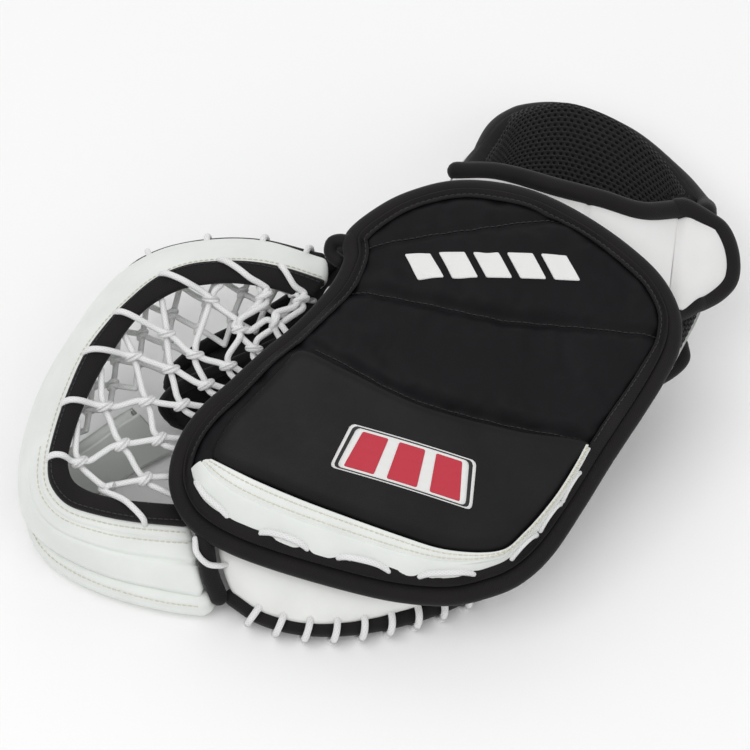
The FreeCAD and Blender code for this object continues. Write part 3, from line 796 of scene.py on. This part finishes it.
def patches(cover_tree, block_tree):
    """A row of plain white slanted bars on the nylon and a plain red and white badge on the knuckle pad."""
    bars = []
    for k in range(NAME_BARS):
        x = 22 + 20.6 * k
        bars.append(flat_patch(slanted_box(x, x + 15.5, 28, 43.5, -4.0), cover_tree, 1.0))
    declare(joined("name_patch", bars, WHITE_PATCH), BACKHAND, ["name_bar"])
    corners = np.array(BADGE, float)
    middle = corners.mean(axis=0)
    reach = np.linalg.norm(corners - middle, axis=1)[:, None]
    for name, rim, height, cloth, nodes in (("emblem_ground", 0.0, 0.7, WHITE_PATCH, ["emblem"]),
                                            ("emblem_ring", 2.0, 1.0, BLACK_PATCH, ()),
                                            ("emblem_field", 4.4, 1.3, WHITE_PATCH, ())):
        shape = middle + (corners - middle) * (1 - rim / reach)
        declare(joined(name, [flat_patch(soft_box(shape), block_tree, height)], cloth), BACKHAND, nodes)
    a, b, c, d = middle + (corners - middle) * (1 - 8.5 / reach)
    bars = []
    for start, end in ((0.0, 0.26), (0.37, 0.63), (0.74, 1.0)):
        shape = [a + (b - a) * start, a + (b - a) * end, d + (c - d) * end, d + (c - d) * start]
        bars.append(flat_patch(soft_box(np.array(shape)), block_tree, 1.6))
    declare(joined("emblem_bars", bars, RED_PATCH), BACKHAND)


def soft_box(corners):
    """A dense outline through four corners, softened a little at each."""
    dense = np.vstack([corners, corners[:1]])
    line = sampled(dense, np.linspace(0, lengths(dense)[-1], 96, endpoint=False))
    return sum(np.roll(line, k, axis=0) for k in (-1, 0, 1)) / 3


def slanted_box(x0, x1, y0, y1, lean):
    return soft_box(np.array([(x0 - lean, y0), (x1 - lean, y0), (x1 + lean, y1), (x0 + lean, y1)], float))


def flat_patch(outline, tree, height):
    """Points, faces and map of an embroidered patch that lies on a surface, with a raised satin border."""
    middle = outline.mean(axis=0)
    shares = np.linspace(0.04, 1, 14)
    plan = np.vstack([middle + (outline - middle) * t for t in shares])
    place, facing = dropped_on(tree, plan, height)
    n = len(outline)
    place = place + facing * (0.25 * np.exp(-((np.repeat(shares, n) - 0.93) / 0.05) ** 2))[:, None]
    skirt = place[-n:] - facing[-n:] * (height + 0.6)
    faces = [f[::-1] for f in grid_faces(15, n, closed=True)] + [tuple(range(n))]
    points = np.vstack([place, skirt])
    return points, turned_out(points, faces), np.vstack([plan, outline])


# ---------------------------------------------------------------- finger half

def beyond(edge, inner, distance, count):
    """The line that lies past an edge, away from an inner line."""
    p, q = smooth(edge, count), smooth(inner, count)
    return p + unit(p - q) * distance


def lace_loops(line, radius, places, wire=2.0, lean=0.0):
    """Closed lace loops whipped round a curve at the given shares of its length."""
    total, parts = lengths(line), []
    for share in places:
        centre, ahead = sampled(line, share * total[-1] + np.array((0, 1)))
        along = unit(ahead - centre)
        side = unit(np.cross(along, UP))
        lift = np.cross(side, along)
        angle = np.linspace(0, 2 * math.pi, 32, endpoint=False)[:, None]
        ring = centre + (side * np.cos(angle) + lift * np.sin(angle) * 1.08) * radius
        ring = ring + along * np.sin(angle) * lean
        parts.append(tube_parts(ring, wire, sides=10, closed=True, up=along))
    return parts


def finger_half():
    grid = surface([RIM_BOTTOM, RIM_TOP], 40, 200, 2.5)
    u = lengths(grid[20])[None, :, None]
    t = np.linspace(0, 1, 40)[:, None, None]
    grid = grid + normals(grid) * (0.5 * np.sin(u / 11 + 2 * t) * np.sin(u / 29) * 4 * t * (1 - t))
    rim = thick_sheet("rim_cover", grid, 7.5, RIM_LEATHER)
    declare(rim, FINGER_HALF, ["finger_rim"])
    edge = smooth(RIM_BOTTOM, 220) - (0, 0, EDGE_DROP)
    roll("rim_roll", edge, 5.8, FINGER_HALF, ["finger_edge_binding"])
    loops = lace_loops(edge, 8.4, np.arange(1, RIM_LACES + 1) / (RIM_LACES + 1), 2.2, lean=2.6)
    declare(joined("rim_lace", loops, LACE), FINGER_HALF, ["finger_edge_lacing"])
    roll("rim_end_roll", smooth(RIM_END, 60), 5.6, FINGER_HALF, ["finger_rim_end"])
    roll("rim_end_lace", smooth(RIM_END_STITCH, 30), 1.9, FINGER_HALF, (), 10, LACE)
    wall = thick_sheet("index_cover", surface([INDEX_TOP, INDEX_BOTTOM], 14, 80), 7.0, WHITE_LEATHER)
    declare(wall, FINGER_HALF, ["index_wall"])
    palm = disc_mesh("palm_cover", smooth(PALM_EDGE, 200, closed=True), np.array((30.0, -35.0)),
                     lambda x, y: palm_height(x, y) + 4.0, 30, BLACK_LEATHER,
                     lambda x, y: palm_height(x, y) - 3.4)
    declare(palm, FINGER_HALF, ["palm_board", "palm_leather"])
    strap = thick_sheet("hand_strap_band", surface([HAND_STRAP_FRONT, HAND_STRAP_BACK], 12, 60), 2.5, LINER)
    declare(strap, FINGER_HALF, ["hand_strap"])
    gusset = thick_sheet("gusset_sheet", surface([GUSSET_THUMB, GUSSET_PALM], 8, 24), 2.0, BLACK_LEATHER)
    declare(gusset, FINGER_HALF, ["palm_gusset"])
    stalls()


STALLS = ((-8, -10, 70.0), (19, -19, 80.0), (46, -28, 76.0), (72, -37, 60.0))   # knuckle x and y, length
STALL_SIDES = 28


def stalls():
    """Soft fabric sleeves for the four fingers, open towards the wrist."""
    parts = []
    for x, y, length in STALLS:
        tip = (x - 0.34 * length, y - 0.94 * length)
        a = np.array((x, y, panel_height(x, y) - 24.0))
        b = np.array((tip[0], tip[1], panel_height(*tip) - 24.0))
        share = np.linspace(0, 1, 60)
        line = a + (b - a) * share[:, None]
        wrinkles = 0.25 * np.sin(share * length / 2.3) * np.sin(share * math.pi)
        outside = 11.3 - 1.5 * share + wrinkles
        outside[-6:] *= np.sqrt(1 - (np.linspace(0, 0.98, 6)) ** 2)
        inside = 9.7 - 1.5 * share[:54]
        path = np.vstack([line[::-1], line[:54]])
        reach = np.concatenate([outside[::-1], inside])
        side, lift = cross_frames(line)
        side, lift = (np.vstack([v[::-1], v[:54]]) for v in (side, lift))
        angle = np.linspace(0, 2 * math.pi, STALL_SIDES, endpoint=False)
        ring = [path + (side * math.cos(k) + lift * math.sin(k)) * reach[:, None] for k in angle]
        points = np.stack(ring, axis=1).reshape(-1, 3)
        faces = grid_faces(len(path), STALL_SIDES, closed=True)
        last = (len(path) - 1) * STALL_SIDES
        faces += [tuple(range(STALL_SIDES))[::-1], tuple(range(last, last + STALL_SIDES))]
        uv = np.stack([np.repeat(lengths(path), STALL_SIDES), np.tile(angle * 11, len(path))], axis=1)
        parts.append((points, turned_out(points, faces), uv))
    declare(joined("stall_sleeves", parts, LINER), FINGER_HALF, ["finger_stalls"])


# ---------------------------------------------------------------- cuff

def grid_point(grid, r, c):
    """The grid's point at fractional row and column."""
    rows, cols = grid.shape[:2]
    r, c = np.clip(r, 0, rows - 1.001), np.clip(c, 0, cols - 1.001)
    i, j = r.astype(int), c.astype(int)
    a, b = (r - i)[..., None], (c - j)[..., None]
    return (grid[i, j] * (1 - a) * (1 - b) + grid[i + 1, j] * a * (1 - b) + grid[i, j + 1] * (1 - a) * b
            + grid[i + 1, j + 1] * a * b)


def holed_sheet(name, grid, pitch, hole, depth, material, rolled):
    """A cloth with staggered diamond holes, laid along a grid and turned in at every hole.

    The grid's outer rows and columns, rolled of them on each side, go over edges; its corners stay bare.
    """
    n = normals(grid)
    rows, cols = grid.shape[:2]
    high = float(np.mean(lengths(grid[:, cols // 2])[-1]))
    wide = float(np.mean(lengths(grid[rows // 2])[-1]))
    down, over = int(high / pitch * 1.5), int(wide / pitch)
    corners = np.array([(-0.5, -0.5), (0, -0.5), (0.5, -0.5), (0.5, 0), (0.5, 0.5), (0, 0.5), (-0.5, 0.5),
                        (-0.5, 0)])
    angle = np.arctan2(corners[:, 1], corners[:, 0])
    rim = np.stack([np.cos(angle), np.sin(angle)], axis=1) * hole
    cells = []
    for i in range(down):
        for j in range(over - (i % 2)):
            centre = np.array((i + 0.5, j + 0.5 + 0.5 * (i % 2)))
            cells.append(np.stack([centre + corners, centre + rim, centre + rim * 0.92]))
    cells = np.array(cells)
    r, c = cells[..., 0] / down * (rows - 1), cells[..., 1] / over * (cols - 1)
    near = [np.minimum(v[:, 1, 0], last - v[:, 1, 0]) < rolled for v, last in ((r, rows - 1), (c, cols - 1))]
    kept = ~(near[0] & near[1])
    cells, r, c = cells[kept], r[kept], c[kept]
    place, facing = grid_point(grid, r, c), unit(grid_point(n, r, c))
    place = place + facing * np.array((0.35, 0.0, -depth))[None, :, None, None]
    count = len(cells)
    base = (np.arange(count) * 24)[:, None]
    faces = []
    for k in range(8):
        m = (k + 1) % 8
        for low, high_ring in ((0, 8), (8, 16)):
            faces.append(np.stack([base[:, 0] + low + k, base[:, 0] + low + m, base[:, 0] + high_ring + m,
                                   base[:, 0] + high_ring + k], axis=1))
    faces = [tuple(f) for f in np.vstack(faces).tolist()]
    uv = np.stack([cells[..., 1] * pitch, cells[..., 0] * pitch / 1.5], axis=-1).reshape(-1, 2)
    return mesh_piece(name, place.reshape(-1, 3), faces, uv, material)


def rolled_over(grid, radius, steps=10):
    """The grid continued over the rounded edges of a pad on all four sides."""
    for _ in range(2):
        n = normals(grid)
        runs = [grid]
        for edge, before in ((0, 1), (-1, -2)):
            out = unit(grid[edge] - grid[before])
            middle = grid[edge] - n[edge] * radius
            turn = np.radians(np.linspace(15, 150, steps))[:, None, None]
            runs.append(middle + (n[edge] * np.cos(turn) + out * np.sin(turn)) * radius)
        grid = np.vstack([runs[1][::-1], runs[0], runs[2]]).transpose(1, 0, 2)[::-1]
    return grid


CUFF_PAD = 12.0            # thickness of the padding under the mesh
MESH_PITCH = 4.6           # from one hole of the mesh to the next
MESH_HOLE = 0.29           # radius of a hole, as a share of the pitch


def cuff():
    grid = surface([CUFF_LIP, CUFF_BELLY, CUFF_HEEL], 60, 120)
    declare(thick_sheet("cuff_cover", grid, -4.0, WHITE_LEATHER), FINGER_HALF, ["cuff_board"])
    lining = (grid - normals(grid) * (CUFF_PAD + 0.5))[::-1]
    pad = thick_sheet("cuff_lining_pad", lining, CUFF_PAD, LINER)
    declare(pad, FINGER_HALF, ["cuff_mesh_pad"])
    skin = rolled_over(lining + normals(lining) * 1.3, 7.3)
    declare(holed_sheet("cuff_mesh", skin, MESH_PITCH, MESH_HOLE, 1.5, MESH_CLOTH, 10), FINGER_HALF)
    lip = beyond(CUFF_LIP, CUFF_BELLY, 5.0, 160)
    swell = np.clip((np.linspace(0, 1, 160) - 0.18) / 0.2, 0, 1)[:, None]
    outward = lip - smooth(CUFF_BELLY, 160)
    lip = lip - unit(np.cross(directions(lip), outward)) * (4.0 * swell - 1.0)
    lip = lip - unit(outward) * 5 * (1 - swell)
    roll("cuff_roll", lip, 3.6 + 3.8 * swell[:, 0], FINGER_HALF, ["cuff_binding"], 20)
    corner = surface([HEEL_EDGE, [(x - 22, y + 4, z) for x, y, z in HEEL_EDGE]], 8, 24)
    declare(thick_sheet("heel_corner", corner, 3.0, SMOOTH_WHITE), FINGER_HALF)
    roll("heel_corner_roll", smooth(HEEL_ROLL, 50), 5.0, FINGER_HALF, (), 16)
    grid = surface([WRIST_INNER, WRIST_EDGE], 30, 140)
    u = lengths(grid[15])[None, :, None]
    grid = grid + UP * (0.7 * np.sin(u / 15) - 1.3 * np.exp(-((u - 92) / 1.6) ** 2))
    declare(thick_sheet("wrist_cover", grid, 3.0, SMOOTH_WHITE), FINGER_HALF, ["wrist_panel"])
    roll("wrist_roll", beyond(WRIST_EDGE, WRIST_INNER, 5.0, 120), 6.0, FINGER_HALF, ["wrist_binding"])
    tuck = [(x - 6, y - 1, z - 1.5) for x, y, z in TAB_ROOT]
    grid = surface([TAB_TIP, TAB_MIDDLE, TAB_ROOT, tuck], 30, 60)
    declare(thick_sheet("tab_cover", grid, 3.0, SMOOTH_WHITE), STRAP, ["strap_tab"])
    edge = beyond(TAB_TIP, TAB_ROOT, 5.5, 100)
    edge = smooth(np.vstack([TAB_ROLL_START, edge[8::8], TAB_ROLL_END]), 140)
    roll("tab_roll", edge, 6.0, STRAP, ["strap_tab_binding"])


# ---------------------------------------------------------------- web

KNOTS = {   # share along the web's edge, share of the way to the index finger
    "a": (0.24, 0.19), "b": (0.38, 0.23), "c": (0.46, 0.14), "d": (0.46, 0.40), "e": (0.56, 0.37),
    "f": (0.59, 0.13), "g": (0.68, 0.33), "h": (0.72, 0.08), "i": (0.78, 0.49), "j": (0.79, 0.19),
    "k": (0.66, 0.55), "l": (0.55, 0.59), "m": (0.47, 0.66), "n": (0.40, 0.48), "o": (0.39, 0.71),
    "p": (0.27, 0.58), "q": (0.12, 0.26), "r": (0.04, 0.50), "s": (0.18, 0.70), "u": (0.30, 0.77),
}
CROSSWAYS = (   # hole in the white band, knots, share along the index finger where it ends
    (0.08, "rs", 0.24), (0.19, "qps", 0.2), (0.30, "apu", 0.32), (0.41, "bno", 0.40), (0.50, "cdm", 0.46),
    (0.60, "fel", 0.53), (0.70, "hgk", 0.66), (0.93, "ji", 0.80),
)
LENGTHWAYS = (   # start along the web's edge, knots, share along the index finger where it ends
    (0.63, "hj", None), (0.51, "fgi", 0.93), (0.42, "cek", 0.74), (0.31, "bdl", 0.62), (0.18, "anm", 0.52),
    (0.10, "qpo", 0.45), (0.03, "ru", 0.36),
)


def on_surface(grid, s, t):
    """The grid's point at a share s along it and t across it."""
    rows, cols = grid.shape[:2]
    return grid_point(grid, np.array(t * (rows - 1)), np.array(s * (cols - 1)))


def knot(place, along, facing, wire, reach):
    """A lace wound once and a half round a crossing."""
    side = unit(np.cross(facing, along))
    turn = np.linspace(0, 1, 30)[:, None]
    angle = turn * 3.1 * math.pi
    line = place + along * (turn - 0.5) * 5.4 + (side * np.cos(angle) + facing * np.sin(angle)) * reach
    return tube_parts(line, wire, sides=9, up=facing)


def slack(points):
    """The path of a lace through points, with its corners eased as a stiff cord eases them."""
    dense = np.array(points)
    total = lengths(dense)[-1]
    line = sampled(dense, np.linspace(0, total, max(8, int(total))))
    weight = np.exp(-(np.arange(-6, 7) / 2.2) ** 2 / 2)
    ends = np.vstack([2 * line[:1] - line[6:0:-1], line, 2 * line[-1:] - line[-2:-8:-1]])
    return np.stack([np.convolve(ends[:, k], weight / weight.sum(), "valid") for k in range(3)], axis=1)


def near_net(below):
    """Two families of laces between the web's edge and the index finger, hooked together at the knots.

    below holds the search trees of the leather band and its binding, which the laces cross first."""
    grid = surface([NET_EDGE, NET_INDEX], 60, 240)
    facing = normals(grid)
    rim = smooth(WEB_NEAR, 240)
    spots = {name: on_surface(grid, *place) for name, place in KNOTS.items()}
    runs = []
    for share, names, end in CROSSWAYS:
        hole, first = rim[int(share * 239)], spots[names[0]]
        span = np.linalg.norm(first - hole)
        start = [hole - UP * 4]
        for reach in np.arange(0.0, span - 6, 3.5):
            p = hole + (first - hole) * reach / span
            hits = [tree.ray_cast(Vector(p + UP * 25), Vector((0, 0, -1)))[0] for tree in below]
            tops = [hit.z for hit in hits if hit is not None]
            if not tops:
                break
            start.append(np.array((p[0], p[1], max(p[2], max(tops) + 1.9))))
        runs.append((start, names, on_surface(grid, end, 0.97)))
    for share, names, end in LENGTHWAYS:
        finish = spots[names[-1]] if end is None else on_surface(grid, end, 0.97)
        runs.append(([on_surface(grid, share, 0.0) - UP], names, finish))
    parts = []
    meetings = {name: [] for name in KNOTS}
    for index, (start, names, finish) in enumerate(runs):
        stops = [start[-1]] + [spots[name] for name in names] + [finish]
        for before, name, after in zip(stops, names, stops[2:]):
            meetings[name].append((index, unit(before - spots[name]), unit(after - spots[name])))
    twists = {}
    for name, found in meetings.items():
        axis = unit(sum(leaving - coming for _, coming, leaving in found[:2]))
        lift = unit(on_surface(facing, *KNOTS[name]))
        side = unit(found[0][2] - axis * (axis @ found[0][2]))
        turn = np.linspace(0, 1, 9)[:, None]
        for order, (index, coming, leaving) in enumerate(found):
            angle = math.pi * (1 - turn) if order == 0 else -math.pi * turn
            swing = side * np.cos(angle) * 2.6 + lift * (np.sin(angle) * 2.2 + (3.4 if order == 2 else 0.0))
            turns = list(spots[name] + axis * (turn - 0.5) * 9.5 + swing)
            twists[index, name] = turns if coming @ axis < leaving @ axis else turns[::-1]
        angle = np.linspace(0, 2 * math.pi, 28, endpoint=False)[:, None]
        hook = side * np.cos(angle) * 3.7 + lift * np.sin(angle) * 3.1 + axis * np.sin(angle + 0.8) * 2.2
        parts.append(tube_parts(spots[name] + hook, 1.8, 10, closed=True, up=axis))
    for index, (start, names, finish) in enumerate(runs):
        line = list(start)
        for name in names:
            line += twists[index, name]
        if np.linalg.norm(finish - line[-1]) > 6:
            line.append(finish)
        parts.append(tube_parts(slack(line), 2.0, sides=10))
    return joined("near_net", parts, LACE)


def far_net():
    """The net behind: a plainer lattice between the web's spine and the thumb."""
    grid = surface([FAR_NET_SPINE, FAR_NET_THUMB], 60, 240)
    parts = []
    along, across = 9, 4
    for j in range(across):
        for i in range(along + 1):
            s = (i + 0.5 * (j % 2)) / along
            if s > 1:
                continue
            here = on_surface(grid, min(s, 1.0), j / across)
            for step in (-0.5, 0.5):
                there = s + step / along
                if 0 <= there <= 1:
                    to = on_surface(grid, there, (j + 1) / across)
                    sway = np.array((0.0, 0.0, 1.5 * math.sin(5.3 * i + 2.1 * j + step)))
                    line = smooth([here, here * 0.5 + to * 0.5 + sway, to], 18)
                    parts.append(tube_parts(line, 1.9, sides=8))
            if 0 < j:
                parts.append(knot(here, np.array((0.0, 1.0, 0.0)), UP, 1.7, 2.1))
    return joined("far_net", parts, LACE)


CROSSBAR_RADIUS = 8.6


def web():
    grid = surface([WEB_OUTER, WEB_NEAR], 50, 320, 3.0)
    u = lengths(grid[25])[None, :, None]
    t = np.linspace(0, 1, 50)[:, None, None]
    bottom = 1 / (1 + np.exp(-(u / u.max() - 0.70) * 40))
    crease = 1.7 * np.exp(-((t - 0.47) / 0.035) ** 2) * bottom
    crease = crease + 0.9 * np.exp(-((t - 0.80) / 0.02) ** 2) * bottom
    puff = 0.4 * np.sin(u / 13 + 3 * t) * np.sin(u / 31) * 4 * t * (1 - t)
    grid = grid + normals(grid) * (puff - crease)
    band = thick_sheet("web_band", grid, 8.0, WHITE_LEATHER)
    declare(band, WEB, ["web_strip", "web_core"])
    tree = tree_of(band)
    sewn = []
    for line in (grid[45], grid[37, 210:]):
        sewn += stitches(*laid_on(tree, line, THREAD_LIFT), length=2.2, gap=1.2)
    edge_low = smooth(CROSSBAR_LINE, 160)
    inner = surface([WEB_NEAR, NET_EDGE], 24, 320)
    t = np.linspace(0, 1, 24)[:, None, None]
    shelf = inner + normals(inner) * (3.4 + 2.2 * np.sqrt(np.clip(4 * t * (1 - t), 0, 1)))
    tape = thick_sheet("web_inner_roll", shelf, 5.0, TAPE)
    declare(tape, WEB, ["web_binding"])
    black = stitches(*laid_on(tree_of(tape), inner[3] + normals(inner)[3] * 5, 0.12), length=2.4, gap=1.1)
    declare(joined("web_tape_stitches", black, BLACK_THREAD), WEB)
    rim = grid[0]
    lean = normals(grid)[-1]    # which way the band faces at its other edge, beside the net
    outer = (rim + unit(rim - smooth(WEB_NEAR, 320)) * 3.0 - lean * 3.2)[:110]
    taper = 2.3 * np.clip(np.linspace(6, 0, 110), 0.3, 1)
    roll("web_outer_roll", outer, taper, WEB, ["spine_edge_binding"], 12)
    knots = lace_loops(outer, 3.9, (0.06, 0.27, 0.52, 0.78))
    declare(joined("web_outer_knots", knots, LACE), WEB, ["spine_edge_lacing"])
    crossbar = joined("crossbar_cover", [tube_parts(edge_low, CROSSBAR_RADIUS, 28)], WHITE_LEATHER)
    p = points_of(crossbar)
    nearest = np.array([edge_low[np.argmin(np.linalg.norm(edge_low - q, axis=1))] for q in p])
    away = unit(p - nearest)
    slope = np.degrees(np.arctan2(away[:, 2], np.hypot(away[:, 0], away[:, 1])))
    p = p - away * (1.3 * np.exp(-((slope - 20) / 9) ** 2))[:, None]
    put_points(crossbar, p)
    declare(crossbar, WEB, ["crossbar_roll"])
    low_line = edge_low + unit(np.cross(directions(edge_low), UP) + UP * 0.9) * (CROSSBAR_RADIUS + 0.2)
    sewn += stitches(*laid_on(tree_of(crossbar), low_line[10:], THREAD_LIFT), length=2.2, gap=1.2)
    declare(joined("web_stitches", sewn, CREAM_THREAD), WEB)
    arm = surface([THUMB_ARM_TOP, THUMB_ARM_BOTTOM], 16, 50)
    declare(thick_sheet("thumb_arm_cover", arm, -8.0, WHITE_LEATHER), WEB, ["thumb_arm"])
    near = near_net([tree, tree_of(tape)])
    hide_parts("finger_side_net")
    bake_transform(near)
    declare(far_net(), WEB, ["thumb_side_net"])


# ---------------------------------------------------------------- thumb half

def eased(grid, radius):
    """The sheet with its four corners rounded off."""
    middle = grid.mean(axis=0)
    along = lengths(middle)
    near = np.clip(np.minimum(along, along[-1] - along) / radius, 0, 1)
    share = 0.3 + 0.7 * np.sqrt(1 - (1 - near) ** 2)
    return middle + (grid - middle) * share[None, :, None]


def edge_loop(grid, thickness):
    """The line round the middle of a sheet's edge."""
    middle = grid - normals(grid) * thickness / 2
    loop = np.vstack([middle[0], middle[1:, -1], middle[-1, -2::-1], middle[-2:0:-1, 0]])
    return smooth(loop[::4], 240, closed=True)


def thumb_half():
    grid = eased(surface([THUMB_BOTTOM, THUMB_TOP], 24, 100, 2.0), 26)
    declare(thick_sheet("thumb_face", grid, -3.0, BLACK_LEATHER), THUMB_HALF, ["thumb_palm_leather"])
    declare(thick_sheet("thumb_back", grid, 4.0, WHITE_LEATHER), THUMB_HALF, ["thumb_board"])
    roll("thumb_edge_roll", edge_loop(grid, 0.5), 4.4, THUMB_HALF,
         ["thumb_top_binding", "thumb_foot_binding"], 14, closed=True)
    shield = eased(surface([THUMB_COVER_TOP, THUMB_COVER_FOOT], 24, 100, 3.0), 30)
    declare(thick_sheet("thumb_shield", shield, -8.0, WHITE_LEATHER), THUMB_HALF, ["thumb_cover"])
    roll("thumb_shield_roll", edge_loop(shield, -8.0), 5.0, THUMB_HALF, ["thumb_cover_binding"], 14,
         closed=True)
    for name, row, far in (("thumb_foot_gusset", grid[1], shield[-2]),
                           ("thumb_top_gusset", grid[-2], shield[1])):
        declare(thick_sheet(name, surface([row[6:-10], far[6:-10]], 10, 80, 2.5), 1.8, LINER), THUMB_HALF)
    roll("thumb_sleeve", smooth(THUMB_SLEEVE, 60), 11.0, THUMB_HALF, ["thumb_stall"], 24, LINER)


# ---------------------------------------------------------------- stage

CAMERA_DISTANCE, CAMERA_ELEVATION, VIEW_WIDTH = 1500.0, 58.0, 465.0
TARGET = np.array((0.0, 0.0, 60.0))


def stage():
    tilt = math.radians(CAMERA_ELEVATION)
    away = np.array((0, -math.cos(tilt), math.sin(tilt)))
    camera = bpy.data.objects.new("camera", bpy.data.cameras.new("camera"))
    camera.data.lens = camera.data.sensor_width * CAMERA_DISTANCE / VIEW_WIDTH
    camera.location = Vector((TARGET + away * CAMERA_DISTANCE) * MM + SHIFT)
    camera.rotation_euler = (math.pi / 2 - tilt, 0, 0)
    bpy.context.scene.collection.objects.link(camera)
    bpy.context.scene.camera = camera
    floor = bpy.data.meshes.new("floor")
    floor.from_pydata([(-6, -6, 0), (6, -6, 0), (6, 6, 0), (-6, 6, 0)], [], [(0, 1, 2, 3)])
    pale = Shader("floor", (0.97, 0.97, 0.97), 0.9)
    pale.tint(pale.noise(0.5, 2), 0.995, 1.005)
    floor.materials.append(pale.material)
    ground = bpy.data.objects.new("floor", floor)
    bpy.context.scene.collection.objects.link(ground)
    for name, place, size, power in (("key", (-0.6, -0.5, 1.6), 1.2, 8.5), ("fill", (1.2, -0.9, 1.2), 1.4, 4),
                                     ("back", (0.2, 1.5, 1.3), 1.4, 5)):
        lamp = bpy.data.objects.new(name, bpy.data.lights.new(name, "AREA"))
        lamp.data.size = size
        lamp.data.energy = power
        lamp.location = place
        lamp.rotation_euler = (Vector((0, 0, 0.05)) - Vector(place)).to_track_quat("-Z", "Y").to_euler()
        bpy.context.scene.collection.objects.link(lamp)
    world = bpy.data.worlds.new("studio")
    world.use_nodes = True
    world.node_tree.nodes["Background"].inputs["Color"].default_value = (1, 1, 1, 1)
    world.node_tree.nodes["Background"].inputs["Strength"].default_value = 0.66
    bpy.context.scene.world = world
    bpy.context.scene.view_settings.view_transform = "Standard"


backhand()
finger_half()
cuff()
web()
thumb_half()
for node in frame["nodes"].values():
    for material_slot in node.material_slots:
        material_slot.material = LINER
stage()
